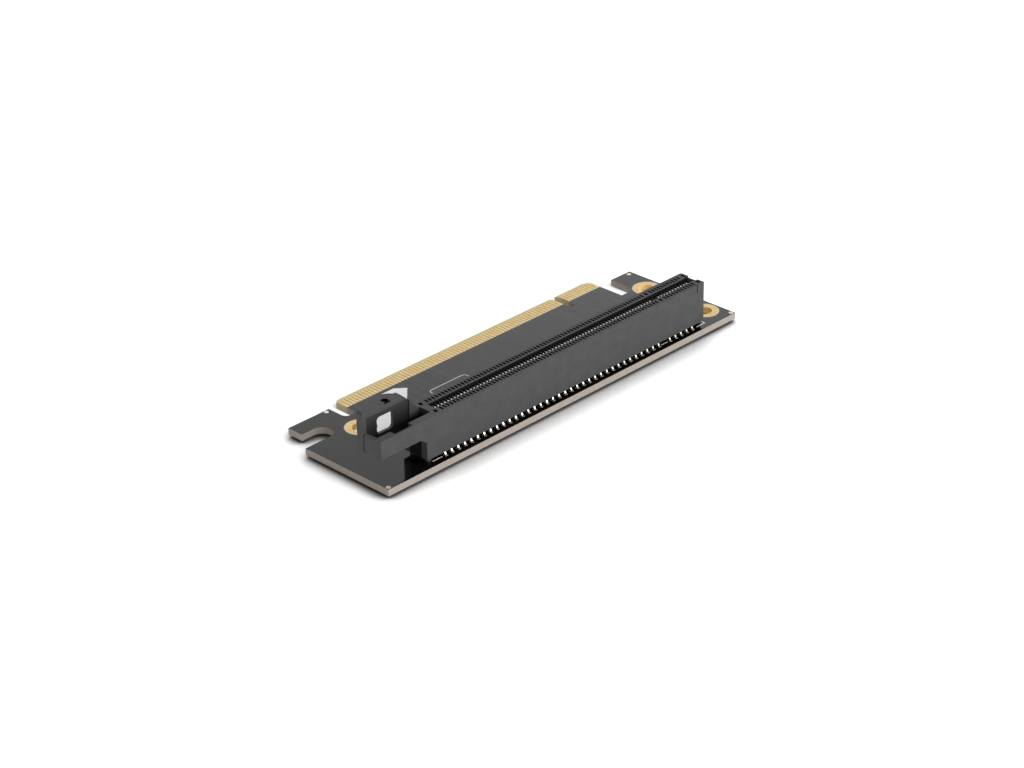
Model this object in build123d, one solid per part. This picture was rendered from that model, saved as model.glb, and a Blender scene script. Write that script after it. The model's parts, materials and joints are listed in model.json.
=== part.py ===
"""Riser card: a board with a card-edge tongue, and a card slot housing soldered on it."""
import os

from build123d import *

os.makedirs("parts", exist_ok=True)

# The frame, in millimetres: X runs along the slot, Y towards the card-edge tongue, Z up from the
# board's underside. The origin lies under the middle of the slot.

# Contact layout
PITCH = 1.0
LONG_COUNT = 71
SHORT_COUNT = 11
KEY_GAP = 3.0
ROW_SPAN = (LONG_COUNT - 1 + SHORT_COUNT - 1) * PITCH + KEY_GAP
KEY_X = ROW_SPAN / 2 - (SHORT_COUNT - 1) * PITCH - KEY_GAP / 2
OUTER_TAIL_Y = 3.25
INNER_TAIL_Y = 1.25

# Card-edge tongue
TONGUE_CENTRE = 0.65
TONGUE_SIDE_MARGIN = 0.65
TONGUE_LEFT = TONGUE_CENTRE - ROW_SPAN / 2 - TONGUE_SIDE_MARGIN
TONGUE_RIGHT = TONGUE_CENTRE + ROW_SPAN / 2 + TONGUE_SIDE_MARGIN
TONGUE_KEY_X = KEY_X + TONGUE_CENTRE
TONGUE_BACK = 33.3
TONGUE_CORNER = 1.3
BEVEL_LENGTH = 1.5
BEVEL_DEPTH = 0.4
KEY_NOTCH_WIDTH = 1.9
KEY_NOTCH_END = 25.7
FINGER_START = 28.45
FINGER_WIDTH = 0.7
FINGER_BEVEL_GAP = 0.1

# Board
BOARD_THICKNESS = 1.6
LEFT_WING = 18.8
RIGHT_WING = 11.4
BOARD_LEFT = TONGUE_LEFT - LEFT_WING
BOARD_RIGHT = TONGUE_RIGHT + RIGHT_WING
BOARD_FRONT = -5.1
BOARD_BACK = 21.3

# Hook on the board's left end, with the open slot under it
LEFT_NOTCH_WIDTH = 3.2
LEFT_NOTCH_END = 25.2
HOOK_LENGTH = 12.1
HOOK_RIGHT = TONGUE_LEFT - LEFT_NOTCH_WIDTH
HOOK_LEFT = HOOK_RIGHT - HOOK_LENGTH
HOOK_BACK = 30.95
HOOK_SLOT_BACK = 26.5
HOOK_NECK = 6.0
HOOK_SLOT_END = HOOK_RIGHT - HOOK_NECK

# Lug at the board's right end
RIGHT_NOTCH_WIDTH = 4.65
RIGHT_NOTCH_END = 21.2
LUG_LEFT = TONGUE_RIGHT + RIGHT_NOTCH_WIDTH
LUG_BACK = 29.05

# Copper and print on the board
COPPER = 0.05
PRINT = 0.03
HOLE_R = 2.0
HOLE_PAD_R = 3.65
HOLES = {
    "left": (TONGUE_LEFT - 4.1, 19.5),
    "rear_right": (TONGUE_RIGHT + 7.05, 19.3),
    "front_right": (TONGUE_RIGHT + 7.15, 1.15),
}
PLATING_SIDES = 24
CORNER_PAD_R = 0.55
CORNER_PAD_SIDES = 8
CORNER_PADS = [
    (HOOK_RIGHT - 1.4, HOOK_BACK - 0.75), (BOARD_LEFT + 0.7, BOARD_FRONT + 0.8),
    (BOARD_RIGHT - 0.8, BOARD_FRONT + 0.7), (BOARD_RIGHT - 1.4, LUG_BACK - 1.1),
]
LINE_WIDTH = 0.25
LINE_LEFT_INSET = 1.9
LINE_KEY_INSET = 0.9
LINE_RIGHT_GAP = 0.8
FRAME_LEFT = -23.9
FRAME_RIGHT = -12.5
FRAME_FRONT = 18.3
FRAME_BACK = 21.5
FRAME_CORNER = 0.8
LABEL_LEFT = -44.5
LABEL_RIGHT = -36.0
LABEL_FRONT = 14.4
LABEL_BACK = 20.2
LABEL_HOLE_GAP = 0.15
PATCH_OUTLINE = [(-32.4, 21.4), (-29.5, 21.4), (-25.8, 25.2), (-28.2, 27.3), (-32.4, 27.3)]

# Slot housing
STANDOFF = 1.2
HOUSING_BASE = BOARD_THICKNESS + STANDOFF
HOUSING_TOP = 12.85
SLOT_END_MARGIN = 1.0
SLOT_LEFT = -ROW_SPAN / 2 - SLOT_END_MARGIN
SLOT_RIGHT = ROW_SPAN / 2 + SLOT_END_MARGIN
LEFT_END_LENGTH = 4.9
RIGHT_END_LENGTH = 1.7
HOUSING_LEFT = SLOT_LEFT - LEFT_END_LENGTH
HOUSING_RIGHT = SLOT_RIGHT + RIGHT_END_LENGTH
HOUSING_HALF_WIDTH = 3.75
OUTER_WALL = 0.8
CHAMBER_WIDTH = 0.6
CHAMBER_INNER_Y = 1.6
SLOT_WIDTH = 1.8
SLOT_CHAMFER_Y = 0.3
SLOT_CHAMFER_Z = 0.5
LIP_DEPTH = 0.85
CARD_STOP_WIDTH = 1.5
CARD_STOP_HEIGHT = 1.2
KEY_WALL = 1.7
KEY_WALL_DROP = 0.55
HOUSING_EDGE_R = 0.5
FOOT_LENGTH = 1.0
FOOT_HALF_WIDTH = 2.8
END_POCKET_LENGTH = 0.8
END_POCKET_WIDTH = 1.2
END_POCKET_DEPTH = 2.0
END_POCKET_Y = 2.3
END_POCKET_INSET = 0.75
SLIT_WIDTH = 0.3
SLIT_DEPTH = 0.6
SLIT_LENGTH = 1.85
END_DIP_DEPTH = 0.45
END_DIP_HALF_WIDTH = 1.4

# Retention loop on the housing's left end
ARM_LENGTH = 13.6
LOOP_LEFT = HOUSING_LEFT - ARM_LENGTH
ARM_THICKNESS = 1.85
ARM_DEPTH = 4.45
ARM_BASE = HOUSING_TOP - ARM_DEPTH
ARM_GUSSET_LENGTH = 1.7
ARM_GUSSET_HEIGHT = 1.2
LOOP_END_WALL = 1.0
CHANNEL_REACH = 3.1
CHANNEL_END = HOUSING_LEFT + CHANNEL_REACH
CHANNEL_DEPTH = 6.5
PLATE_FRONT = 1.4
PLATE_THICKNESS = 1.9
PLATE_BACK = PLATE_FRONT + PLATE_THICKNESS
PLATE_RISE = 4.95
PLATE_TOP = HOUSING_TOP + PLATE_RISE
PLATE_FOOT_REACH = 2.6
PLATE_FOOT_RIGHT = HOUSING_LEFT + PLATE_FOOT_REACH
PLATE_SHOULDERS = [(1.1, 1.3), (0.5, 2.45), (-2.2, PLATE_RISE)]
PLATE_EDGE_CHAMFER = 0.4
RIM_HEIGHT = 1.5
RIM_PROUD = 0.3
WALL_THICKNESS = 0.8
WALL_LENGTH = 11.0
WALL_RIGHT = LOOP_LEFT + WALL_LENGTH
WALL_DEPTH = 7.5
SEAM_WIDTH = 0.25
SEAM_DEPTH = 0.2
WINDOW_INSET = 4.3
WINDOW_WIDTH = 4.8
WINDOW_LEFT = LOOP_LEFT + WINDOW_INSET
WINDOW_RIGHT = WINDOW_LEFT + WINDOW_WIDTH
WINDOW_DROP = 2.8
WINDOW_HEIGHT = 4.1
WINDOW_CORNER_R = 0.9
TAB_CENTRE = (LOOP_LEFT + 7.15, PLATE_FRONT - 0.45)
TAB_R = 4.25
TAB_HOLE = (LOOP_LEFT + 7.45, PLATE_FRONT + 1.03)
TAB_HOLE_R = 0.85
TAB_HOLE_SIDES = 16
TAB_HOLE_FLOOR = 0.2
ARM_POCKET_INSET = 4.8
ARM_POCKET_LENGTH = 5.2
ARM_POCKET_LEFT = LOOP_LEFT + ARM_POCKET_INSET
ARM_POCKET_RIGHT = ARM_POCKET_LEFT + ARM_POCKET_LENGTH
ARM_POCKET_DEPTH = 1.5
ARM_SKIN = 0.45

# Contacts and their solder
CONTACT_WIDTH = 0.4
CONTACT_THICKNESS = 0.25
OUTER_BEND_GAP = 0.35
OUTER_BEND_RISE = 0.1
TIP_Y = 0.26
TIP_DROP = 0.6
SOLDER_HALF_WIDTH = 0.55
SOLDER_HEIGHT = 0.7

BEYOND = 1.0


def block(x_range, y_range, z_range):
    """A box from three pairs of limits."""
    corner = (x_range[0], y_range[0], z_range[0])
    size = (x_range[1] - x_range[0], y_range[1] - y_range[0], z_range[1] - z_range[0])
    return Pos(*corner) * Box(*size, align=(Align.MIN, Align.MIN, Align.MIN))


def disc(x, y, radius, z_range):
    """An upright cylinder from its axis, radius and height limits."""
    height = z_range[1] - z_range[0]
    aligned = (Align.CENTER, Align.CENTER, Align.MIN)
    return Pos(x, y, z_range[0]) * Cylinder(radius, height, align=aligned)


def drum(x, y, radius, z_range, sides):
    """An upright many-sided drum that just holds a circle of the given radius."""
    with BuildSketch(Plane.XY.offset(z_range[0])) as base:
        with Locations((x, y)):
            RegularPolygon(radius, sides, major_radius=False)
    return extrude(base.sketch, z_range[1] - z_range[0]).solid()


def prism_x(points, x_range):
    """A prism along X from a section given as (y, z) points."""
    face = Face(Wire.make_polygon([(x_range[0], y, z) for y, z in points]))
    return Solid.extrude(face, Vector(x_range[1] - x_range[0], 0, 0))


def prism_y(points, y_range):
    """A prism along Y from a section given as (x, z) points."""
    face = Face(Wire.make_polygon([(x, y_range[0], z) for x, z in points]))
    return Solid.extrude(face, Vector(0, y_range[1] - y_range[0], 0))


def mirrored(y_range, side):
    """Y limits given for the back half, moved to the asked side."""
    return tuple(sorted((side * y_range[0], side * y_range[1])))


def long_places():
    """X of each contact of the long section, starting at the slot's left end."""
    return [-ROW_SPAN / 2 + index * PITCH for index in range(LONG_COUNT)]


def short_places():
    """X of each contact of the short section, starting beside the key."""
    first = KEY_X + KEY_GAP / 2
    return [first + index * PITCH for index in range(SHORT_COUNT)]


def split_rows(places, outer_first):
    """The places of the outer and inner rows, which take turns along a section."""
    even = places[0::2]
    odd = places[1::2]
    return (even, odd) if outer_first else (odd, even)


def save(name, solids):
    """Write one node, as one solid or as a group of separate solids."""
    shape = solids[0] if len(solids) == 1 else Compound(children=solids)
    export_step(shape, f"parts/{name}.step")


def notch(x_range, end_y, y_max, z_range):
    """A cutter for a notch that opens at the back and has a half-round inner end."""
    radius = (x_range[1] - x_range[0]) / 2
    centre_x = (x_range[0] + x_range[1]) / 2
    straight = block(x_range, (end_y + radius, y_max), z_range)
    return straight + disc(centre_x, end_y + radius, radius, z_range)


def make_board():
    """The bare board, with its tongue, hook, lug, notches and drilled holes."""
    cut_z = (-BEYOND, BOARD_THICKNESS + BEYOND)
    with BuildSketch() as outline:
        with BuildLine():
            Polyline(
                (BOARD_LEFT, BOARD_FRONT), (BOARD_RIGHT, BOARD_FRONT), (BOARD_RIGHT, LUG_BACK),
                (LUG_LEFT, LUG_BACK), (LUG_LEFT, BOARD_BACK), (TONGUE_RIGHT, BOARD_BACK),
                (TONGUE_RIGHT, TONGUE_BACK), (TONGUE_LEFT, TONGUE_BACK),
                (TONGUE_LEFT, HOOK_SLOT_BACK), (HOOK_RIGHT, HOOK_SLOT_BACK),
                (HOOK_RIGHT, HOOK_BACK), (HOOK_LEFT, HOOK_BACK), (HOOK_LEFT, BOARD_BACK),
                (BOARD_LEFT, BOARD_BACK), close=True,
            )
        make_face()
        tongue_corners = [v for v in outline.vertices() if abs(v.Y - TONGUE_BACK) < 0.01]
        chamfer(tongue_corners, TONGUE_CORNER)
    board = extrude(outline.sketch, BOARD_THICKNESS)
    slot_r = (HOOK_SLOT_BACK - BOARD_BACK) / 2
    slot_y = (HOOK_SLOT_BACK + BOARD_BACK) / 2
    slot_x = HOOK_SLOT_END - slot_r
    board -= block((BOARD_LEFT - BEYOND, slot_x), (BOARD_BACK, HOOK_SLOT_BACK), cut_z)
    board -= disc(slot_x, slot_y, slot_r, cut_z)
    board -= notch((HOOK_RIGHT, TONGUE_LEFT), LEFT_NOTCH_END, HOOK_BACK + BEYOND, cut_z)
    board -= notch((TONGUE_RIGHT, LUG_LEFT), RIGHT_NOTCH_END, LUG_BACK + BEYOND, cut_z)
    key_range = (TONGUE_KEY_X - KEY_NOTCH_WIDTH / 2, TONGUE_KEY_X + KEY_NOTCH_WIDTH / 2)
    board -= notch(key_range, KEY_NOTCH_END, TONGUE_BACK + BEYOND, cut_z)
    for x, y in HOLES.values():
        board -= drum(x, y, HOLE_R + COPPER, cut_z, PLATING_SIDES)
    start = TONGUE_BACK - BEVEL_LENGTH
    reach = TONGUE_BACK + BEYOND
    drop = BEVEL_DEPTH * (reach - start) / BEVEL_LENGTH
    bevel_x = (TONGUE_LEFT - BEYOND, TONGUE_RIGHT + BEYOND)
    for face_z, inward in ((BOARD_THICKNESS, -1), (0, 1)):
        section = [(start, face_z), (reach, face_z), (reach, face_z + inward * drop)]
        board -= prism_x(section, bevel_x)
    return board.solid()


def fingers(places, z_range):
    """Gold contact fingers of one section, on one face of the tongue."""
    y_range = (FINGER_START, TONGUE_BACK - BEVEL_LENGTH - FINGER_BEVEL_GAP)
    half = FINGER_WIDTH / 2
    middles = [x + TONGUE_CENTRE for x in places]
    return [block((x - half, x + half), y_range, z_range) for x in middles]


def make_plating(x, y):
    """The plated barrel of a mounting hole, with its pad on both faces of the board."""
    top = BOARD_THICKNESS + COPPER
    plating = drum(x, y, HOLE_R + COPPER, (-COPPER, top), PLATING_SIDES)
    plating += drum(x, y, HOLE_PAD_R, (BOARD_THICKNESS, top), PLATING_SIDES)
    plating += drum(x, y, HOLE_PAD_R, (-COPPER, 0), PLATING_SIDES)
    plating -= disc(x, y, HOLE_R, (-BEYOND, top + BEYOND))
    return plating.solid()


def print_block(x_range, y_range):
    """A flat printed patch on the board's component side."""
    return block(x_range, y_range, (BOARD_THICKNESS, BOARD_THICKNESS + PRINT))


def make_outline_print():
    """The printed line that shows the housing's footprint, where it isn't under the pads."""
    front = -OUTER_TAIL_Y
    half = LINE_WIDTH / 2
    right_x = HOUSING_RIGHT + LINE_RIGHT_GAP
    line_y = (front - half, front + half)
    first_pad = -ROW_SPAN / 2 - PITCH
    last_pad = ROW_SPAN / 2 + PITCH / 2
    left = print_block((HOUSING_LEFT + LINE_LEFT_INSET, first_pad), line_y)
    key = print_block((KEY_X - KEY_GAP / 2 + LINE_KEY_INSET, KEY_X + KEY_GAP / 2), line_y)
    right = print_block((last_pad, right_x + half), line_y)
    side = print_block((right_x - half, right_x + half), (line_y[1], -line_y[1]))
    return [left, key, (right + side).solid()]


def make_frame_print():
    """An empty printed frame with cut corners."""
    width = FRAME_RIGHT - FRAME_LEFT
    depth = FRAME_BACK - FRAME_FRONT
    middle = ((FRAME_LEFT + FRAME_RIGHT) / 2, (FRAME_FRONT + FRAME_BACK) / 2)
    with BuildSketch(Plane.XY.offset(BOARD_THICKNESS)) as ring:
        with Locations(middle):
            Rectangle(width, depth)
        chamfer(ring.vertices(), FRAME_CORNER)
        offset(amount=-LINE_WIDTH, kind=Kind.INTERSECTION, mode=Mode.SUBTRACT)
    return [extrude(ring.sketch, PRINT).solid()]


def make_label_print():
    """A plain printed patch beside the left mounting hole, kept clear of its pad."""
    x, y = HOLES["left"]
    patch = print_block((LABEL_LEFT, LABEL_RIGHT), (LABEL_FRONT, LABEL_BACK))
    clear = disc(x, y, HOLE_PAD_R + LABEL_HOLE_GAP, (0, BOARD_THICKNESS + BEYOND))
    return [(patch - clear).solid()]


def make_patch_print():
    """A plain printed patch with slanted corners, near the tongue."""
    points = [(x, y, BOARD_THICKNESS) for x, y in PATCH_OUTLINE]
    return [Solid.extrude(Face(Wire.make_polygon(points)), Vector(0, 0, PRINT))]


def chamber_cutters():
    """One upright chamber for each contact, open at the housing's top and base."""
    half = CHAMBER_WIDTH / 2
    z_range = (HOUSING_BASE - BEYOND, HOUSING_TOP + BEYOND)
    y_range = (CHAMBER_INNER_Y, HOUSING_HALF_WIDTH - OUTER_WALL)
    places = long_places() + short_places()
    cutters = []
    for side in (-1, 1):
        for x in places:
            cutters.append(block((x - half, x + half), mirrored(y_range, side), z_range))
    return cutters


def slot_cutters():
    """The card slot's mouth, and the wider cavity below its lips, left and right of the key."""
    half = SLOT_WIDTH / 2
    lip_base = HOUSING_TOP - LIP_DEPTH
    mouth = half + SLOT_CHAMFER_Y
    chamfer_z = HOUSING_TOP - SLOT_CHAMFER_Z
    section = [
        (-half, lip_base), (half, lip_base), (half, chamfer_z), (mouth, HOUSING_TOP),
        (mouth, HOUSING_TOP + BEYOND), (-mouth, HOUSING_TOP + BEYOND), (-mouth, HOUSING_TOP),
        (-half, chamfer_z),
    ]
    key = (KEY_X - KEY_WALL / 2, KEY_X + KEY_WALL / 2)
    cavity_y = (-CHAMBER_INNER_Y, CHAMBER_INNER_Y)
    cavity_z = (HOUSING_BASE - BEYOND, lip_base)
    cutters = [prism_x(section, (SLOT_LEFT, SLOT_RIGHT))]
    cutters.append(block((SLOT_LEFT, key[0]), cavity_y, cavity_z))
    cutters.append(block((key[1], SLOT_RIGHT), cavity_y, cavity_z))
    return cutters


def card_stops():
    """The bars under the slot that a card's edge comes down on."""
    half = CARD_STOP_WIDTH / 2
    z_range = (HOUSING_BASE, HOUSING_BASE + CARD_STOP_HEIGHT)
    key = (KEY_X - KEY_WALL / 2, KEY_X + KEY_WALL / 2)
    left = block((SLOT_LEFT, key[0]), (-half, half), z_range)
    right = block((key[1], SLOT_RIGHT), (-half, half), z_range)
    return [left, right]


def key_top():
    """The part of the key wall that rises between the lips."""
    half = SLOT_WIDTH / 2
    z_range = (HOUSING_TOP - LIP_DEPTH, HOUSING_TOP - KEY_WALL_DROP)
    return block((KEY_X - KEY_WALL / 2, KEY_X + KEY_WALL / 2), (-half, half), z_range)


def end_pocket_cutters():
    """Blind pockets in the top beside the slot's ends and beside the key."""
    z_range = (HOUSING_TOP - END_POCKET_DEPTH, HOUSING_TOP + BEYOND)
    half_x = END_POCKET_LENGTH / 2
    half_y = END_POCKET_WIDTH / 2
    places = [SLOT_LEFT - END_POCKET_INSET, KEY_X, SLOT_RIGHT + END_POCKET_INSET]
    cutters = []
    for side in (-1, 1):
        for x in places:
            y_range = mirrored((END_POCKET_Y - half_y, END_POCKET_Y + half_y), side)
            cutters.append(block((x - half_x, x + half_x), y_range, z_range))
    return cutters


def end_detail_cutters():
    """The narrow slit in the front face by the first contact, and the dip in the right end's top."""
    slit_x = ROW_SPAN / 2
    slit_y = (-HOUSING_HALF_WIDTH - BEYOND, -HOUSING_HALF_WIDTH + SLIT_DEPTH)
    slit_z = (HOUSING_TOP - SLIT_LENGTH, HOUSING_TOP + BEYOND)
    slit = block((slit_x - SLIT_WIDTH / 2, slit_x + SLIT_WIDTH / 2), slit_y, slit_z)
    dip_x = (SLOT_RIGHT, HOUSING_RIGHT + BEYOND)
    dip_y = (-END_DIP_HALF_WIDTH, END_DIP_HALF_WIDTH)
    dip = block(dip_x, dip_y, (HOUSING_TOP - END_DIP_DEPTH, HOUSING_TOP + BEYOND))
    return [slit, dip]


def feet():
    """The three feet that hold the housing off the board."""
    z_range = (BOARD_THICKNESS, HOUSING_BASE)
    wide = (-FOOT_HALF_WIDTH, FOOT_HALF_WIDTH)
    narrow = (-SLOT_WIDTH / 2, SLOT_WIDTH / 2)
    left = block((HOUSING_LEFT + FOOT_LENGTH, HOUSING_LEFT + 2 * FOOT_LENGTH), wide, z_range)
    middle = block((KEY_X - FOOT_LENGTH / 2, KEY_X + FOOT_LENGTH / 2), narrow, z_range)
    right_end = SLOT_RIGHT + FOOT_LENGTH / 2
    right = block((right_end, right_end + FOOT_LENGTH), wide, z_range)
    return [left, middle, right]


def make_plate():
    """The tall back plate of the retention loop, with its rim, thin wall, window and rounded tab."""
    shoulders = [(HOUSING_LEFT + x, HOUSING_TOP + rise) for x, rise in PLATE_SHOULDERS]
    outline = [
        (LOOP_LEFT, ARM_BASE), (HOUSING_LEFT - ARM_GUSSET_LENGTH, ARM_BASE),
        (HOUSING_LEFT, ARM_BASE - ARM_GUSSET_HEIGHT), (PLATE_FOOT_RIGHT, ARM_BASE),
        (PLATE_FOOT_RIGHT, HOUSING_TOP), *shoulders,
        (LOOP_LEFT + PLATE_EDGE_CHAMFER, PLATE_TOP), (LOOP_LEFT, PLATE_TOP - PLATE_EDGE_CHAMFER),
    ]
    plate = prism_y(outline, (PLATE_FRONT, PLATE_BACK))
    rim_base = PLATE_TOP - RIM_HEIGHT
    tab = disc(*TAB_CENTRE, TAB_R, (rim_base, PLATE_TOP))
    tab -= block((LOOP_LEFT, HOUSING_LEFT + TAB_R), (TAB_CENTRE[1] - TAB_R, PLATE_FRONT + BEYOND),
                 (HOUSING_TOP, PLATE_TOP + BEYOND))
    plate += tab
    front_edge = [
        e for e in plate.edges().filter_by(Axis.X)
        if abs(e.center().Y - PLATE_FRONT) < 0.01 and abs(e.center().Z - PLATE_TOP) < 0.01
    ]
    plate = chamfer(front_edge, PLATE_EDGE_CHAMFER)
    wall_y = (PLATE_FRONT + RIM_PROUD, PLATE_FRONT + RIM_PROUD + WALL_THICKNESS)
    wall_left = LOOP_LEFT + LOOP_END_WALL
    plate -= block((wall_left, HOUSING_LEFT), (PLATE_FRONT - BEYOND, wall_y[0]),
                   (ARM_BASE - ARM_GUSSET_HEIGHT - BEYOND, rim_base))
    plate -= block((wall_left, WALL_RIGHT), (wall_y[1], PLATE_BACK + BEYOND),
                   (PLATE_TOP - WALL_DEPTH, rim_base))
    window_top = PLATE_TOP - WINDOW_DROP
    window = block((WINDOW_LEFT, WINDOW_RIGHT), (PLATE_FRONT - BEYOND, PLATE_BACK + BEYOND),
                   (window_top - WINDOW_HEIGHT, window_top))
    window = fillet(window.edges().filter_by(Axis.Y), WINDOW_CORNER_R)
    plate -= window
    hole_z = (rim_base + TAB_HOLE_FLOOR, PLATE_TOP + BEYOND)
    plate -= drum(*TAB_HOLE, TAB_HOLE_R, hole_z, TAB_HOLE_SIDES)
    return plate


def make_loop():
    """The retention loop moulded on the housing's left end: arm, end wall and back plate."""
    arm_y = (-HOUSING_HALF_WIDTH, -HOUSING_HALF_WIDTH + ARM_THICKNESS)
    arm_outline = [
        (LOOP_LEFT, ARM_BASE), (HOUSING_LEFT - ARM_GUSSET_LENGTH, ARM_BASE),
        (HOUSING_LEFT, ARM_BASE - ARM_GUSSET_HEIGHT), (HOUSING_LEFT, HOUSING_TOP),
        (LOOP_LEFT, HOUSING_TOP),
    ]
    arm = prism_y(arm_outline, arm_y)
    pocket_y = (-HOUSING_HALF_WIDTH + ARM_SKIN, arm_y[1] + BEYOND)
    pocket_z = (HOUSING_TOP - ARM_POCKET_DEPTH, HOUSING_TOP + BEYOND)
    arm -= block((ARM_POCKET_LEFT, ARM_POCKET_RIGHT), pocket_y, pocket_z)
    end_y = (-HOUSING_HALF_WIDTH, PLATE_FRONT)
    end = block((LOOP_LEFT, LOOP_LEFT + LOOP_END_WALL), end_y, (ARM_BASE, HOUSING_TOP))
    seam = block((LOOP_LEFT - BEYOND, LOOP_LEFT + SEAM_DEPTH), (PLATE_FRONT - SEAM_WIDTH, PLATE_FRONT),
                 (ARM_BASE - BEYOND, HOUSING_TOP + BEYOND))
    return arm + end - seam + make_plate()


def make_housing():
    """The one-piece slot housing, from its plain block to its chambers."""
    width = (-HOUSING_HALF_WIDTH, HOUSING_HALF_WIDTH)
    body = block((HOUSING_LEFT, HOUSING_RIGHT), width, (HOUSING_BASE, HOUSING_TOP))
    channel_y = (-HOUSING_HALF_WIDTH + ARM_THICKNESS, PLATE_FRONT)
    channel_z = (HOUSING_TOP - CHANNEL_DEPTH, HOUSING_TOP + BEYOND)
    body -= block((HOUSING_LEFT - BEYOND, CHANNEL_END), channel_y, channel_z)
    body += make_loop()
    rounded = [
        e for e in body.edges().filter_by(Axis.Z)
        if abs(abs(e.center().Y) - HOUSING_HALF_WIDTH) < 0.01
        and (abs(e.center().X - HOUSING_RIGHT) < 0.01 or abs(e.center().X - LOOP_LEFT) < 0.01)
    ]
    body = fillet(rounded, HOUSING_EDGE_R)
    body -= slot_cutters()
    body -= end_pocket_cutters() + end_detail_cutters()
    body -= chamber_cutters()
    body += card_stops() + [key_top()] + feet()
    return body.solid()


def strip(points, x, side):
    """A flat contact strip bent in the YZ plane along a centre line, with a level foot."""
    half = CONTACT_THICKNESS / 2
    line = [Vector(0, side * y, z) for y, z in points]
    runs = [(end - start).normalized() for start, end in zip(line, line[1:])]
    normals = [Vector(0, -run.Z, run.Y) for run in runs]
    offsets = [Vector(0, half / normals[0].Y, 0)]
    for before, after in zip(normals, normals[1:]):
        middle = (before + after).normalized()
        offsets.append(middle * (half / middle.dot(before)))
    offsets.append(normals[-1] * half)
    one_side = [point + away for point, away in zip(line, offsets)]
    other_side = [point - away for point, away in zip(line, offsets)]
    ring = one_side + other_side[::-1]
    section = [(point.Y, point.Z) for point in ring]
    return prism_x(section, (x - CONTACT_WIDTH / 2, x + CONTACT_WIDTH / 2))


def outer_contact(x, side):
    """A contact whose tail stands in the outer row."""
    bend_y = HOUSING_HALF_WIDTH - OUTER_WALL - OUTER_BEND_GAP
    bend = (bend_y, HOUSING_BASE + OUTER_BEND_RISE)
    tip = (TIP_Y, HOUSING_TOP - TIP_DROP)
    return strip([(OUTER_TAIL_Y, BOARD_THICKNESS), bend, tip], x, side)


def inner_contact(x, side):
    """A contact whose tail stands in the inner row."""
    tip = (TIP_Y, HOUSING_TOP - TIP_DROP)
    return strip([(INNER_TAIL_Y, BOARD_THICKNESS), tip], x, side)


def solder_joint(x, y):
    """A solder joint under the board, as a pointed cone with four sides."""
    half = SOLDER_HALF_WIDTH
    base = [(x - half, y - half, 0), (x + half, y - half, 0),
            (x + half, y + half, 0), (x - half, y + half, 0)]
    tip = Vector(x, y, -SOLDER_HEIGHT)
    faces = [Face(Wire.make_polygon(base))]
    for index in range(len(base)):
        corner = base[index]
        following = base[(index + 1) % len(base)]
        faces.append(Face(Wire.make_polygon([corner, following, tip])))
    return Solid(Shell(faces))


def build_board_nodes():
    """The board with its copper and print."""
    save("circuit_board", [make_board()])
    top = (BOARD_THICKNESS, BOARD_THICKNESS + COPPER)
    save("edge_fingers_top_long", fingers(long_places(), top))
    save("edge_fingers_top_short", fingers(short_places(), top))
    for name, (x, y) in HOLES.items():
        save(f"hole_plating_{name}", [make_plating(x, y)])
    save("corner_pads", [drum(x, y, CORNER_PAD_R, top, CORNER_PAD_SIDES) for x, y in CORNER_PADS])
    save("printed_outline", make_outline_print())
    save("printed_frame", make_frame_print())
    save("printed_label_patch", make_label_print())
    save("printed_serial_patch", make_patch_print())


def build_contact_nodes():
    """The contacts by side, row and section, and the solder joints by row."""
    sides = {"front": -1, "back": 1}
    long_rows = split_rows(long_places(), True)
    short_rows = split_rows(short_places(), False)
    for side_name, side in sides.items():
        for section_name, (outer_x, inner_x) in (("long", long_rows), ("short", short_rows)):
            outer = [outer_contact(x, side) for x in outer_x]
            inner = [inner_contact(x, side) for x in inner_x]
            save(f"contacts_{side_name}_outer_{section_name}", outer)
            save(f"contacts_{side_name}_inner_{section_name}", inner)
        outer_x = long_rows[0] + short_rows[0]
        inner_x = long_rows[1] + short_rows[1]
        save(f"solder_{side_name}_outer", [solder_joint(x, side * OUTER_TAIL_Y) for x in outer_x])
        save(f"solder_{side_name}_inner", [solder_joint(x, side * INNER_TAIL_Y) for x in inner_x])


build_board_nodes()
save("slot_housing", [make_housing()])
build_contact_nodes()
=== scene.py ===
import json
import math

import bmesh
import bpy
from mathutils import Matrix, Vector


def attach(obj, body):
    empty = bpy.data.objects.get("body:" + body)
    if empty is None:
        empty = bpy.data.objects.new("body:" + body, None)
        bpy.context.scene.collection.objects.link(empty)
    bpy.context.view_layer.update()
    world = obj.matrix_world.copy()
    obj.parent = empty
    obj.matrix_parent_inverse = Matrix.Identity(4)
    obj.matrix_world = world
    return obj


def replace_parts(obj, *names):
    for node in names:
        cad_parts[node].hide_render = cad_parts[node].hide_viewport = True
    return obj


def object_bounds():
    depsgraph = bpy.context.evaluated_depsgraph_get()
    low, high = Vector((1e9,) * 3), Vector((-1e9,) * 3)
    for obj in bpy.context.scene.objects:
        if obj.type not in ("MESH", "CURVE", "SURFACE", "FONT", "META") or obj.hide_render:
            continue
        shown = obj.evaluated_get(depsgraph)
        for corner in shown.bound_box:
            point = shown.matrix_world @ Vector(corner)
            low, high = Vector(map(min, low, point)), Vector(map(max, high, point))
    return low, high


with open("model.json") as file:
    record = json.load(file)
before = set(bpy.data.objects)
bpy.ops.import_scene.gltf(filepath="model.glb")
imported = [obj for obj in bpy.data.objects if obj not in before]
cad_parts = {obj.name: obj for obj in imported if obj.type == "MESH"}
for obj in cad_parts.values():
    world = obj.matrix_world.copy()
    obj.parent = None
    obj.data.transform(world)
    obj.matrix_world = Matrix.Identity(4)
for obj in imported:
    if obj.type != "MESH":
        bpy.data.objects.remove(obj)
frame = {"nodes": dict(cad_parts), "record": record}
CAD_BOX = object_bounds()
NODES = frame["nodes"]
MM = 0.001

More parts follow.
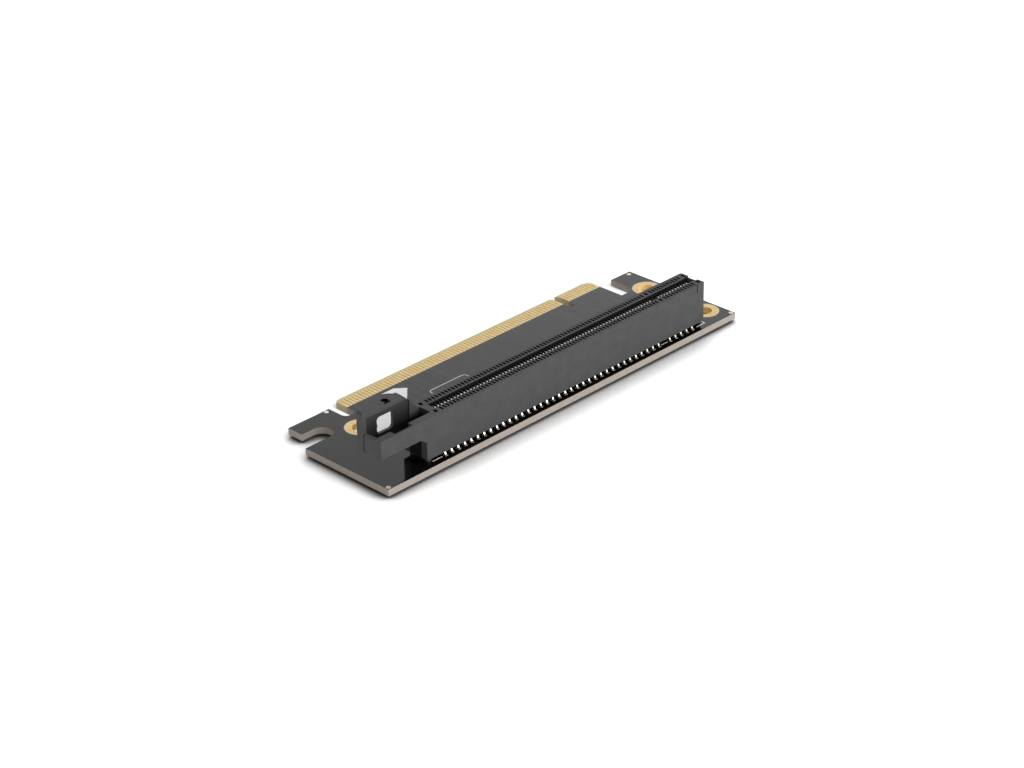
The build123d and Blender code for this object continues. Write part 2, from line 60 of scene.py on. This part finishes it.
# Sizes shared with the solids, in millimetres
PITCH = 1.0
LONG_ROW = [-41.5 + index * PITCH for index in range(71)]
SHORT_ROW = [31.5 + index * PITCH for index in range(11)]
OUTER_TAILS = LONG_ROW[0::2] + SHORT_ROW[1::2]
INNER_TAILS = LONG_ROW[1::2] + SHORT_ROW[0::2]
OUTER_TAIL_Y = 3.25
INNER_TAIL_Y = 1.25
BOARD_TOP = 1.6
TONGUE = (-41.5, 42.8)
FINGER_SHIFT = 0.65
FINGER_START = 28.45
FINGER_END = 31.7
FINGER_HALF = 0.35
COPPER = 0.05
INK = 0.03
SOLDER_DROP = 0.7
HOLES = ((-45.6, 19.5), (49.85, 19.3), (49.95, 1.15))
PAD_R = 3.65
HOUSING_TOP = 12.85

# Where shade is painted in the housing
SLOT_REACH = 43.7
OPENING_REACH = 3.2
LOOP_INSIDE = (-60.0, -41.0)
ARM_BACK = -1.95
WALL_FRONT = 1.7
TROUGH_BASE = 11.0
WINDOW_Z = (12.0, 16.6)
TAB_HOLE = (-53.55, 2.43)
TAB_HOLE_REACH = 0.95
TAB_HOLE_Z = (16.4, 17.7)

# Where the tone of a metal changes, and where the contacts' painted shade begins and ends
TAIL_END_Z = (2.7, 3.1)
TIP_START_Z = (11.7, 12.05)
BARREL_R = (2.05, 2.5)
METAL_R = (2.02, 2.2)
RIM_R = (3.0, 3.3)

# Fine pieces
SIDES = 16
CONE_SIDES = 20
TIP_SIDES = 14
TIP_Y = 0.3
TIP_Z = 12.22
TIP_R = 0.2
TIP_HALF = 0.21
TAIL_LEAN = -0.5
FINGER_EDGE_R = 0.015
FRAME_BOX = ((-23.7, 17.2), (-12.3, 20.4))
FRAME_LINE = 0.17
FRAME_R = 0.9
FRAME_STEPS = 8

# The photograph's camera: place in millimetres, angles in degrees, focal length in pixels
CAMERA_AT = (-374.4, -352.3, 275.2)
CAMERA_AZIMUTH = -135.382
CAMERA_ELEVATION = 28.011
CAMERA_ROLL = -0.946
FOCAL_PIXELS = 2554.0
PHOTO_WIDTH = 1024.0
SENSOR_WIDTH = 36.0

# Light and floor
DIM_SIDE = (-1.0, 0.25, 0.0)
WORLD_BRIGHT = 0.88
WORLD_DIM = 0.24
BACKDROP_TOP = 0.62
KEY_AT = (0.35, -0.85, 0.50)
KEY_SIZE = 0.7
KEY_POWER = 4.8
FLOOR_REACH = 3.0
FLOOR_GAP = 0.02
PAPER = 0.8
# Reach and darkest tone of the floor's painted contact shade
SHADOW_REACH = 11.0
SHADOW_TONE = 0.16
SHOWN_FLOOR = 1.8
# Floor patches in the notches that are painted white with emission as light
BRIGHT_NOTCHES = (((-44.7, -41.0), (22.0, 40.0)), ((42.3, 47.8), (18.0, 40.0)))


def values(items):
    """A copy of a list of sizes in millimetres, in metres."""
    return [item * MM for item in items]


# Node materials

class Nodes:
    """A small helper that builds a node tree."""

    def __init__(self, tree):
        self.tree = tree

    def add(self, kind, **settings):
        """A new node, with each setting put on its input or else on the node."""
        node = self.tree.nodes.new(kind)
        for key, value in settings.items():
            if key in node.inputs:
                node.inputs[key].default_value = value
            else:
                setattr(node, key, value)
        return node

    def link(self, source, target):
        self.tree.links.new(source, target)

    def feed(self, value, socket):
        """Sets a plain number or colour on a socket, or links an output to it."""
        if isinstance(value, float):
            socket.default_value = value
        elif isinstance(value, tuple):
            socket.default_value = (*value, 1.0)
        else:
            self.link(value, socket)

    def math(self, operation, first, second=0.0):
        node = self.add("ShaderNodeMath", operation=operation)
        self.feed(first, node.inputs[0])
        self.feed(second, node.inputs[1])
        return node.outputs[0]

    def all_of(self, *factors):
        """The product of several factors."""
        product = factors[0]
        for factor in factors[1:]:
            product = self.math("MULTIPLY", product, factor)
        return product

    def any_of(self, *factors):
        """The largest of several factors."""
        largest = factors[0]
        for factor in factors[1:]:
            largest = self.math("MAXIMUM", largest, factor)
        return largest

    def remap(self, factor, low, high, to_low, to_high):
        """A factor moved from one range to another and kept inside it."""
        limits = {"From Min": low, "From Max": high, "To Min": to_low, "To Max": to_high}
        node = self.add("ShaderNodeMapRange", clamp=True, **limits)
        self.link(factor, node.inputs["Value"])
        return node.outputs["Result"]

    def blend(self, factor, first, second):
        """A number between two others."""
        node = self.add("ShaderNodeMix", data_type="FLOAT")
        self.link(factor, node.inputs[0])
        self.feed(first, node.inputs[2])
        self.feed(second, node.inputs[3])
        return node.outputs[0]

    def mix(self, factor, first, second):
        """A colour between two others."""
        node = self.add("ShaderNodeMix", data_type="RGBA")
        self.link(factor, node.inputs[0])
        self.feed(first, node.inputs[6])
        self.feed(second, node.inputs[7])
        return node.outputs[2]

    def place(self):
        return self.add("ShaderNodeTexCoord").outputs["Object"]

    def part(self, vector, name):
        """One of the three numbers of a vector."""
        node = self.add("ShaderNodeSeparateXYZ")
        self.link(vector, node.inputs[0])
        return node.outputs[name]

    def axis(self, name):
        """The coordinate along one axis, in metres."""
        return self.part(self.place(), name)

    def rising(self, name, limits):
        """From 0 to 1 as a coordinate passes between two limits in millimetres."""
        return self.remap(self.axis(name), limits[0] * MM, limits[1] * MM, 0.0, 1.0)

    def falling(self, name, limits):
        """From 1 to 0 as a coordinate passes between two limits in millimetres."""
        return self.remap(self.axis(name), limits[0] * MM, limits[1] * MM, 1.0, 0.0)

    def between(self, name, low, high, soft=0.02):
        """1 where a coordinate lies between two limits in millimetres, else 0."""
        return self.all_of(self.rising(name, (low - soft, low)), self.falling(name, (high, high + soft)))

    def seen(self):
        """1 for what the camera, a reflection or a clear body shows, 0 for light on the part."""
        path = self.add("ShaderNodeLightPath")
        rays = ("Is Camera Ray", "Is Glossy Ray", "Is Transmission Ray")
        return self.any_of(*[path.outputs[name] for name in rays])


class Shader(Nodes):
    """A node material of the part, built on the Principled shader."""

    def __init__(self, name):
        self.material = bpy.data.materials.new(name)
        self.material.use_nodes = True
        super().__init__(self.material.node_tree)
        self.bsdf = self.tree.nodes["Principled BSDF"]

    def noise(self, scale, detail=3.0, roughness=0.5, vector=None):
        node = self.add("ShaderNodeTexNoise", Scale=scale, Detail=detail, Roughness=roughness)
        self.link(vector or self.place(), node.inputs["Vector"])
        return node.outputs["Fac"]

    def stretched(self, scale):
        """Coordinates scaled by axis, for grain that runs one way."""
        node = self.add("ShaderNodeMapping", Scale=scale)
        self.link(self.place(), node.inputs["Vector"])
        return node.outputs["Vector"]

    def ramp(self, factor, *stops):
        """A colour that runs between two stops, each a position and a colour."""
        node = self.add("ShaderNodeValToRGB")
        for element, (at, colour) in zip(node.color_ramp.elements, stops):
            element.position = at
            element.color = (*colour, 1.0)
        self.link(factor, node.inputs["Fac"])
        return node.outputs["Color"]

    def vary(self, noise, low, high):
        """A noise that runs between two values."""
        return self.remap(noise, 0.3, 0.7, low, high)

    def facing(self, name):
        """How far the flat face under the shading points along one axis, from -1 to 1."""
        geometry = self.add("ShaderNodeNewGeometry")
        return self.part(geometry.outputs["True Normal"], name)

    def steep(self, name, low, high):
        """1 where the surface faces along an axis, either way, and 0 where it doesn't."""
        return self.remap(self.math("ABSOLUTE", self.facing(name)), low, high, 0.0, 1.0)

    def hole_distance(self):
        """Distance from the axis of the nearest mounting hole."""
        flat = self.add("ShaderNodeVectorMath", operation="MULTIPLY")
        flat.inputs[1].default_value = (1, 1, 0)
        self.link(self.place(), flat.inputs[0])
        nearest = None
        for x, y in HOLES:
            node = self.add("ShaderNodeVectorMath", operation="DISTANCE")
            self.link(flat.outputs[0], node.inputs[0])
            node.inputs[1].default_value = values((x, y, 0))
            reach = node.outputs["Value"]
            nearest = reach if nearest is None else self.math("MINIMUM", nearest, reach)
        return nearest

    def set(self, name, value):
        """Sets an input of the shader itself."""
        self.bsdf.inputs[name].default_value = value

    def colour(self, source):
        self.link(source, self.bsdf.inputs["Base Color"])

    def roughness(self, source):
        self.link(source, self.bsdf.inputs["Roughness"])

    def bump(self, height, strength, distance):
        """Fine relief, with its height in millimetres."""
        node = self.add("ShaderNodeBump", Strength=strength, Distance=distance * MM)
        self.link(height, node.inputs["Height"])
        self.link(node.outputs["Normal"], self.bsdf.inputs["Normal"])


def board_material():
    """Glossy black solder mask on a laminate that is bare at the edges and on the tongue."""
    s = Shader("board_laminate")
    mask = s.ramp(s.noise(260, 4), (0.3, (0.002, 0.002, 0.0022)), (0.7, (0.005, 0.005, 0.0055)))
    lanes = s.remap(s.noise(1.0, 2, 0.7, s.stretched((2300, 26, 1))), 0.47, 0.60, 0.0, 1.0)
    routed = s.all_of(lanes, s.between("Y", 4.5, FINGER_START - 0.4, 1.5), s.between("X", *TONGUE, 3.0))
    mask = s.mix(routed, mask, (0.021, 0.021, 0.022))
    pad_edge = s.remap(s.hole_distance(), (PAD_R + 0.1) * MM, (PAD_R + 0.45) * MM, 1.0, 0.0)
    mask = s.mix(pad_edge, mask, (0.055, 0.040, 0.018))
    on_tongue = s.between("X", TONGUE[0] - 0.1, TONGUE[1] + 0.1)
    mask_end = s.all_of(on_tongue, s.between("Y", FINGER_START - 0.3, FINGER_START))
    mask = s.mix(mask_end, mask, (0.045, 0.025, 0.008))

    layers = s.noise(1.0, 3, 0.6, s.stretched((900, 900, 9000)))
    cut = s.ramp(layers, (0.3, (0.37, 0.315, 0.27)), (0.7, (0.52, 0.46, 0.405)))
    speckle = s.remap(s.noise(5200, 2), 0.62, 0.72, 0.0, 0.35)
    cut = s.mix(speckle, cut, (0.20, 0.17, 0.15))

    bare = s.ramp(s.noise(1500, 4), (0.3, (0.60, 0.52, 0.27)), (0.7, (0.74, 0.66, 0.38)))
    among = s.all_of(s.between("X", TONGUE[0] + 0.25, TONGUE[1] - 0.25),
                     s.between("Y", FINGER_START - 0.1, FINGER_END))
    level = s.steep("Z", 0.95, 0.99)
    bare = s.mix(s.all_of(among, level), bare, (0.46, 0.33, 0.13))

    tongue_face = s.all_of(on_tongue, s.rising("Y", (FINGER_START, FINGER_START + 0.03)))
    masked = s.all_of(level, s.math("SUBTRACT", 1.0, tongue_face))
    s.colour(s.mix(masked, s.mix(tongue_face, cut, bare), mask))
    s.set("Specular IOR Level", 0.56)
    s.roughness(s.blend(masked, 0.6, s.vary(s.noise(900, 3), 0.08, 0.13)))
    s.bump(s.noise(2500, 2), 0.12, 0.02)
    return s.material


def housing_material():
    """Satin black moulded plastic with a very fine grain; in its openings, the latch loop's trough, the tab
    hole and the recessed wall it is rougher and painted near black as shade, the shade on the recessed wall
    stronger towards its bottom.
    """
    s = Shader("housing_plastic")
    outer = s.ramp(s.noise(350, 5), (0.3, (0.070, 0.070, 0.071)), (0.7, (0.084, 0.084, 0.085)))
    in_loop = s.between("X", *LOOP_INSIDE)
    openings = s.all_of(s.falling("Z", (HOUSING_TOP - 0.12, HOUSING_TOP - 0.03)),
                        s.between("X", -SLOT_REACH, SLOT_REACH),
                        s.between("Y", -OPENING_REACH, OPENING_REACH))
    trough = s.all_of(in_loop, s.between("Y", ARM_BACK, WALL_FRONT),
                      s.falling("Z", (TROUGH_BASE, HOUSING_TOP - 0.02)))
    # Painted shade on the recessed wall, darker towards its bottom
    depth = s.remap(s.axis("Z"), WINDOW_Z[0] * MM, WINDOW_Z[1] * MM, 0.85, 0.35)
    recess = s.all_of(in_loop, s.between("Y", WALL_FRONT - 0.05, WALL_FRONT + 0.05), depth)
    around = [s.between(name, at - TAB_HOLE_REACH, at + TAB_HOLE_REACH) for name, at in zip("XY", TAB_HOLE)]
    tab_hole = s.all_of(*around, s.between("Z", *TAB_HOLE_Z, 0.06))
    # Painted shade: a near-black colour where shade falls in the slot's openings, the tab hole, the loop's
    # trough and the recessed wall; these parts are also rougher
    inside = s.any_of(openings, tab_hole, trough, recess)
    s.colour(s.mix(inside, outer, (0.0025, 0.0025, 0.0025)))
    s.set("Specular IOR Level", 0.15)
    s.roughness(s.blend(inside, s.vary(s.noise(1200, 3), 0.42, 0.54), 0.8))
    s.bump(s.noise(7000, 3, 0.6), 0.3, 0.02)
    return s.material


def metal_material(name, dark, light, roughness, scale=900):
    """A plated metal whose tone and gloss vary a little over its surface."""
    s = Shader(name)
    s.set("Metallic", 1.0)
    s.colour(s.ramp(s.noise(scale, 4), (0.3, dark), (0.7, light)))
    s.roughness(s.vary(s.noise(scale * 3, 3), *roughness))
    s.bump(s.noise(scale * 6, 2), 0.2, 0.01)
    return s.material


def finger_material():
    """Hard gold on the edge fingers, paler where each finger begins, with fine rub marks along it."""
    s = Shader("finger_gold")
    s.set("Metallic", 1.0)
    gold = s.ramp(s.noise(700, 4), (0.3, (0.86, 0.61, 0.25)), (0.7, (0.97, 0.75, 0.37)))
    # Paler band where each finger begins
    pale_start_band = s.remap(s.axis("Y"), FINGER_START * MM, (FINGER_START + 1.1) * MM, 0.75, 0.0)
    s.colour(s.mix(pale_start_band, gold, (0.90, 0.80, 0.58)))
    rubs = s.noise(1.0, 3, 0.6, s.stretched((9000, 700, 900)))
    s.roughness(s.vary(rubs, 0.24, 0.42))
    s.bump(rubs, 0.15, 0.01)
    return s.material


def hole_material():
    """Gold round a mounting hole: an orange barrel, a yellow land and a pale outer rim."""
    s = Shader("hole_gold")
    reach = s.math("ADD", s.hole_distance(), s.vary(s.noise(600, 3), -0.15 * MM, 0.15 * MM))
    land = s.ramp(s.noise(420, 3), (0.35, (0.86, 0.56, 0.20)), (0.65, (0.96, 0.74, 0.34)))
    barrel = s.remap(reach, *values(BARREL_R), 1.0, 0.0)
    rim = s.remap(reach, *values(RIM_R), 0.0, 1.0)
    s.colour(s.mix(rim, s.mix(barrel, land, (1.0, 0.74, 0.34)), (0.80, 0.68, 0.46)))
    s.link(s.remap(reach, *values(METAL_R), 0.0, 1.0), s.bsdf.inputs["Metallic"])
    s.roughness(s.vary(s.noise(2500, 3), 0.28, 0.44))
    s.bump(s.noise(1800, 3), 0.25, 0.02)
    return s.material


def contact_material():
    """Contact strip: bright tin on the tail, a polished tip in the front row, and a rougher nickel body
    between, painted near black as shade, as are the back row's tips.
    """
    s = Shader("contact_metal")
    s.set("Metallic", 1.0)
    bright = s.ramp(s.noise(1800, 3), (0.3, (0.86, 0.84, 0.80)), (0.7, (0.98, 0.97, 0.94)))
    bright = s.mix(s.steep("X", 0.6, 0.9), bright, (0.30, 0.22, 0.14))
    # Painted shade: above the tail the strip and the back row's rolled tips are coloured near black as
    # shade; only the front row's tips stay bright
    front_tip = s.all_of(s.rising("Z", TIP_START_Z), s.falling("Y", (-0.02, 0.02)))
    shaded_body_and_back_tips = s.math("SUBTRACT", s.rising("Z", TAIL_END_Z), front_tip)
    s.colour(s.mix(shaded_body_and_back_tips, bright, (0.075, 0.065, 0.055)))
    s.roughness(s.blend(shaded_body_and_back_tips, s.vary(s.noise(2600, 2), 0.14, 0.26), 0.5))
    s.bump(s.noise(6000, 2), 0.15, 0.01)
    return s.material


def print_material():
    """White printed ink with slightly uneven cover."""
    s = Shader("print_white")
    s.colour(s.ramp(s.noise(2600, 4), (0.25, (0.88, 0.88, 0.88)), (0.6, (0.97, 0.97, 0.97))))
    s.roughness(s.vary(s.noise(1500, 2), 0.45, 0.6))
    return s.material


MATERIALS = {
    "board_laminate": board_material(),
    "housing_plastic": housing_material(),
    "finger_gold": finger_material(),
    "hole_gold": hole_material(),
    "pad_tin": metal_material("pad_tin", (0.84, 0.77, 0.66), (0.97, 0.93, 0.85), (0.3, 0.45)),
    "contact_metal": contact_material(),
    "solder_tin": metal_material("solder_tin", (0.50, 0.42, 0.32), (0.78, 0.70, 0.58), (0.2, 0.4), 2200),
    "print_white": print_material(),
}


def dress_nodes():
    """Gives each CAD node the material of its slot in the record."""
    for row in frame["record"]["subparts"]:
        mesh = NODES[row["node"]].data
        mesh.materials.clear()
        mesh.materials.append(MATERIALS[row["material_slot"]])


# Pieces too fine for the solids

def add_piece(name, mesh, slot):
    """Puts a finished mesh in the scene, riding on the card, with a slot's material."""
    mesh.materials.append(MATERIALS[slot])
    piece = bpy.data.objects.new(name, mesh)
    bpy.context.scene.collection.objects.link(piece)
    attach(piece, "root")
    return piece


def outward(mesh):
    """Turns all faces of closed shells to the outside."""
    shape = bmesh.new()
    shape.from_mesh(mesh)
    bmesh.ops.recalc_face_normals(shape, faces=shape.faces)
    shape.to_mesh(mesh)
    shape.free()


def circle(sides):
    """The cosine and sine of each corner of a regular ring."""
    angles = [2 * math.pi * side / sides for side in range(sides)]
    return [(math.cos(angle), math.sin(angle)) for angle in angles]


def add_tubes(name, tubes, slot):
    """One piece made of closed tubes, each a list of rings with the same number of points."""
    points = []
    faces = []
    for rings in tubes:
        sides = len(rings[0])
        first = len(points)
        last = first + (len(rings) - 1) * sides
        for ring in rings:
            points.extend(values(point) for point in ring)
        for low in range(first, last, sides):
            for side in range(sides):
                after = (side + 1) % sides
                faces.append((low + side, low + after, low + sides + after, low + sides + side))
        faces.append(tuple(first + side for side in reversed(range(sides))))
        faces.append(tuple(last + side for side in range(sides)))
    mesh = bpy.data.meshes.new(name)
    mesh.from_pydata(points, [], faces)
    outward(mesh)
    mesh.polygons.foreach_set("use_smooth", [len(face.vertices) == 4 for face in mesh.polygons])
    return add_piece(name, mesh, slot)


def turned(name, profile, places, slot, sides=SIDES, lean=0.0):
    """Copies of one turned shape, from (radius, z) points; the axis may lean in Y as it rises."""
    base = profile[0][1]
    tubes = []
    for x, y in places:
        tilt = lean if y > 0 else -lean
        tubes.append([[(x + radius * across, y + tilt * (z - base) + radius * along, z)
                       for across, along in circle(sides)] for radius, z in profile])
    return add_tubes(name, tubes, slot)


def rolled_tips(name, places, side):
    """The rolled end of each contact in one row, a short roll along X on the strip's tip."""
    left_end = [(-TIP_HALF, 0.6), (-TIP_HALF + 0.05, 0.9), (-TIP_HALF + 0.1, 1.0)]
    ends = left_end + [(-offset, grow) for offset, grow in reversed(left_end)]
    tubes = [[[(x + offset, side * TIP_Y + grow * TIP_R * across, TIP_Z + grow * TIP_R * up)
               for across, up in circle(TIP_SIDES)] for offset, grow in ends] for x in places]
    return add_tubes(name, tubes, "contact_metal")


def printed_frame():
    """The empty printed frame with round corners and a thin line, in place of the plain one."""
    half = FRAME_LINE / 2
    low, high = FRAME_BOX
    corners = [(high[0], high[1], 0), (low[0], high[1], 90), (low[0], low[1], 180), (high[0], low[1], 270)]
    inner = []
    outer = []
    for x, y, start in corners:
        middle_x = x - FRAME_R if start in (0, 270) else x + FRAME_R
        middle_y = y - FRAME_R if start in (0, 90) else y + FRAME_R
        for step in range(FRAME_STEPS + 1):
            angle = math.radians(start + 90 * step / FRAME_STEPS)
            for loop, reach in ((inner, FRAME_R - half), (outer, FRAME_R + half)):
                loop.append((middle_x + reach * math.cos(angle), middle_y + reach * math.sin(angle)))
    count = len(inner)
    points = [values((x, y, z)) for z in (BOARD_TOP, BOARD_TOP + INK) for x, y in inner + outer]
    faces = []
    for index in range(count):
        after = (index + 1) % count
        faces.append((index, after, count + after, count + index))
        faces.append((2 * count + index, 3 * count + index, 3 * count + after, 2 * count + after))
        faces.append((index, 2 * count + index, 2 * count + after, after))
        faces.append((count + index, count + after, 3 * count + after, 3 * count + index))
    mesh = bpy.data.meshes.new("printed_frame_line")
    mesh.from_pydata(points, [], faces)
    outward(mesh)
    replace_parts(add_piece("printed_frame_line", mesh, "print_white"), "printed_frame")


def under_fingers(name, row):
    """Edge fingers on the tongue's underside, with softened edges."""
    shape = bmesh.new()
    size = values((2 * FINGER_HALF, FINGER_END - FINGER_START, COPPER))
    for middle in row:
        made = bmesh.ops.create_cube(shape, size=1.0)
        centre = values((middle + FINGER_SHIFT, (FINGER_START + FINGER_END) / 2, -COPPER / 2))
        bmesh.ops.scale(shape, vec=size, verts=made["verts"])
        bmesh.ops.translate(shape, vec=centre, verts=made["verts"])
    low = [edge for edge in shape.edges if all(vert.co.z < -COPPER * MM / 2 for vert in edge.verts)]
    bmesh.ops.bevel(shape, geom=low, offset=FINGER_EDGE_R * MM, segments=2, affect="EDGES", profile=0.5)
    mesh = bpy.data.meshes.new(name)
    shape.to_mesh(mesh)
    shape.free()
    add_piece(name, mesh, "finger_gold")


def solder_details():
    """Lands and solder at the tails, on both faces of the board."""
    land = [(0.55, BOARD_TOP), (0.55, BOARD_TOP + 0.03), (0.51, BOARD_TOP + 0.05), (0.30, BOARD_TOP + 0.055)]
    fillet = [(0.33, BOARD_TOP + 0.04), (0.27, BOARD_TOP + 0.07), (0.235, BOARD_TOP + 0.11),
              (0.21, BOARD_TOP + 0.16), (0.16, BOARD_TOP + 0.19), (0.10, BOARD_TOP + 0.20)]
    under_land = [(0.30, -0.05), (0.49, -0.045), (0.52, -0.03), (0.52, 0.0)]
    cone = [(0.10, -SOLDER_DROP), (0.15, -SOLDER_DROP + 0.03), (0.165, -0.56), (0.19, -0.42),
            (0.235, -0.30), (0.30, -0.19), (0.39, -0.10), (0.46, -0.04), (0.47, 0.0)]
    for side, word in ((-1, "front"), (1, "back")):
        outer = [(x, side * OUTER_TAIL_Y) for x in OUTER_TAILS]
        inner = [(x, side * INNER_TAIL_Y) for x in INNER_TAILS]
        turned(f"tail_lands_{word}", land, outer, "hole_gold")
        turned(f"tail_fillets_{word}", fillet, outer, "solder_tin", lean=TAIL_LEAN)
        turned(f"under_lands_{word}", under_land, outer + inner, "hole_gold")
        for places, row in ((outer, "outer"), (inner, "inner")):
            joint = turned(f"solder_cones_{word}_{row}", cone, places, "solder_tin", sides=CONE_SIDES)
            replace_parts(joint, f"solder_{word}_{row}")


# Camera, light and floor

def make_camera():
    """The photograph's camera."""
    azimuth, elevation, roll = map(math.radians, (CAMERA_AZIMUTH, CAMERA_ELEVATION, CAMERA_ROLL))
    back = Vector((math.cos(elevation) * math.cos(azimuth), math.cos(elevation) * math.sin(azimuth),
                   math.sin(elevation)))
    right = (-back).cross(Vector((0, 0, 1))).normalized()
    up = right.cross(-back)
    tilted_right = math.cos(roll) * right + math.sin(roll) * up
    tilted_up = math.cos(roll) * up - math.sin(roll) * right
    camera = bpy.data.objects.new("camera", bpy.data.cameras.new("camera"))
    matrix = Matrix((tilted_right, tilted_up, back)).transposed().to_4x4()
    matrix.translation = Vector(values(CAMERA_AT))
    camera.matrix_world = matrix
    camera.data.sensor_width = SENSOR_WIDTH
    camera.data.lens = FOCAL_PIXELS * SENSOR_WIDTH / PHOTO_WIDTH
    camera.data.clip_start = 0.01
    bpy.context.scene.collection.objects.link(camera)
    bpy.context.scene.camera = camera


def make_world():
    """A soft studio, dimmer on one side as a light, and white where it is seen."""
    world = bpy.data.worlds.new("studio")
    bpy.context.scene.world = world
    world.use_nodes = True
    t = Nodes(world.node_tree)
    background = t.tree.nodes["Background"]
    background.inputs["Color"].default_value = (1, 1, 1, 1)
    direction = t.add("ShaderNodeTexCoord").outputs["Generated"]
    dot = t.add("ShaderNodeVectorMath", operation="DOT_PRODUCT")
    dot.inputs[1].default_value = Vector(DIM_SIDE).normalized()
    t.link(direction, dot.inputs[0])
    light = t.remap(dot.outputs["Value"], -0.1, 0.7, WORLD_BRIGHT, WORLD_DIM)
    reflected = t.remap(t.part(direction, "Z"), 0.44, 0.52, 1.0, BACKDROP_TOP)
    shown = t.blend(t.add("ShaderNodeLightPath").outputs["Is Camera Ray"], reflected, 1.0)
    t.link(t.blend(t.seen(), light, shown), background.inputs["Strength"])


def make_floor():
    """A white floor that keeps the part's real shadows, darkened close and soft under its edges by painted
    contact shade from an ambient occlusion node, with painted light in the two notches, which emit white
    where seen.
    """
    level = CAD_BOX[0].z - FLOOR_GAP * MM
    corners = [(x * FLOOR_REACH, y * FLOOR_REACH, level) for x, y in ((-1, -1), (1, -1), (1, 1), (-1, 1))]
    mesh = bpy.data.meshes.new("floor")
    mesh.from_pydata(corners, [], [(0, 1, 2, 3)])
    floor = bpy.data.objects.new("floor", mesh)
    bpy.context.scene.collection.objects.link(floor)

    material = bpy.data.materials.new("floor_white")
    material.use_nodes = True
    t = Nodes(material.node_tree)
    t.tree.nodes.remove(t.tree.nodes["Principled BSDF"])
    # Painted contact shade: an ambient occlusion node darkens the floor's seen colour close under the part's
    # edges, on top of its real shadows
    close = t.add("ShaderNodeAmbientOcclusion", samples=8, Distance=SHADOW_REACH * MM)
    painted_contact_shade = t.remap(close.outputs["AO"], 0.46, 0.97, SHADOW_TONE, SHOWN_FLOOR)
    surface = t.add("ShaderNodeBsdfDiffuse")
    t.link(t.blend(t.seen(), PAPER, painted_contact_shade), surface.inputs["Color"])
    white = t.add("ShaderNodeEmission")
    # Painted light: in the two notches the floor emits white where seen, hiding the part's real shadows
    # there
    notches = [t.all_of(t.between("X", *x_range, 1.0), t.between("Y", *y_range, 1.0))
               for x_range, y_range in BRIGHT_NOTCHES]
    mixed = t.add("ShaderNodeMixShader")
    t.link(t.all_of(t.any_of(*notches), t.seen()), mixed.inputs[0])
    t.link(surface.outputs[0], mixed.inputs[1])
    t.link(white.outputs[0], mixed.inputs[2])
    t.link(mixed.outputs[0], t.tree.nodes["Material Output"].inputs["Surface"])
    mesh.materials.append(material)


def make_key_light():
    """One square soft light that looks at the part."""
    light = bpy.data.lights.new("key_light", "AREA")
    light.shape = "SQUARE"
    light.size = KEY_SIZE
    light.energy = KEY_POWER
    lamp = bpy.data.objects.new("key_light", light)
    lamp.location = KEY_AT
    lamp.rotation_mode = "QUATERNION"
    lamp.rotation_quaternion = (-Vector(KEY_AT)).to_track_quat("-Z", "Y")
    bpy.context.scene.collection.objects.link(lamp)


dress_nodes()
solder_details()
under_fingers("edge_fingers_under_long", LONG_ROW)
under_fingers("edge_fingers_under_short", SHORT_ROW)
for row_name, row_side in (("front", -1), ("back", 1)):
    rolled_tips(f"contact_tips_{row_name}", LONG_ROW + SHORT_ROW, row_side)
printed_frame()
make_camera()
make_world()
make_floor()
make_key_light()
bpy.context.scene.view_settings.view_transform = "Standard"
